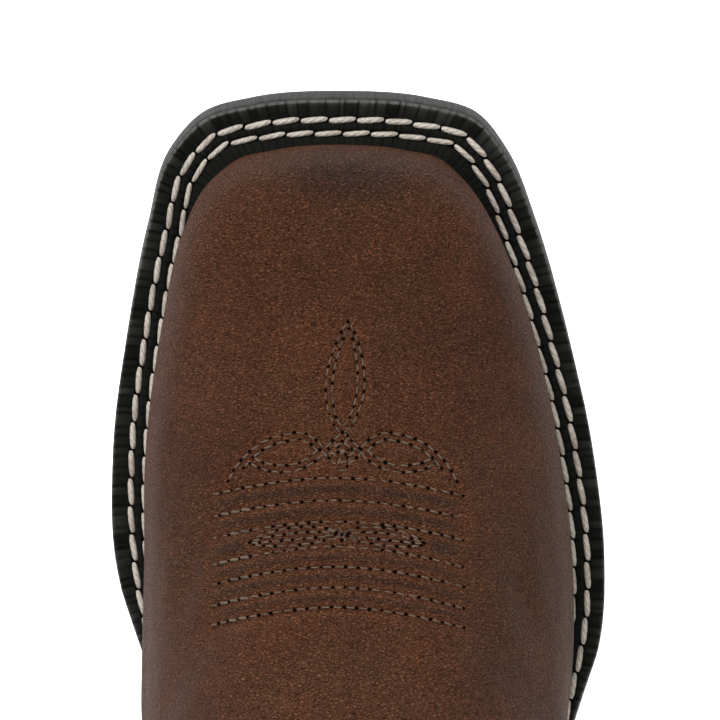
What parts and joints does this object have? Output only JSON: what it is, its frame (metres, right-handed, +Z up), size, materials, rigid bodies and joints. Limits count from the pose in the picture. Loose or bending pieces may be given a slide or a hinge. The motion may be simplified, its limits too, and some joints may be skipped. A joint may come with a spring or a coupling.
{
  "type": "western boot",
  "caption": "Right western boot with a broad square toe, stitched storm welt, block heel, hollow shaft with a scalloped collar and pull straps.",
  "frame": {"origin": "middle of the heel's contact face on the floor", "axes": "+Y from heel to toe, +X to the outer side of this right foot, +Z up"},
  "size_m": [0.1153, 0.3272, 0.3492],
  "materials": {
    "outsole_rubber": "dark grey rubber with fine ribs on its edge, satin",
    "heel_stack": "stacked leather dyed black and waxed",
    "top_lift_rubber": "black rubber, matt",
    "welt_leather": "black edge-dyed storm welt, ribbed, semi-gloss",
    "insole_leather": "natural tan leather, smooth",
    "shaft_leather": "dark brown oiled full-grain leather, low sheen",
    "vamp_leather": "dark brown oiled full-grain leather, fine pebble and pull-up marks, low sheen",
    "strap_leather": "dark brown oiled leather, stitched edges",
    "welt_stitching": "thick waxed cream thread, plied",
    "toe_stitching": "taupe brown polyester thread, matt",
    "lining_leather": "natural tan lining leather, smooth"
  },
  "bodies": {
    "root": {"outsole": "outsole_rubber", "heel_block": "heel_stack", "top_lift": "top_lift_rubber", "welt": "welt_leather", "insole": "insole_leather", "upper": "shaft_leather", "vamp": "vamp_leather", "heel_counter": "vamp_leather", "pull_strap_medial": "strap_leather", "pull_strap_lateral": "strap_leather"}
  },
  "joints": []
}
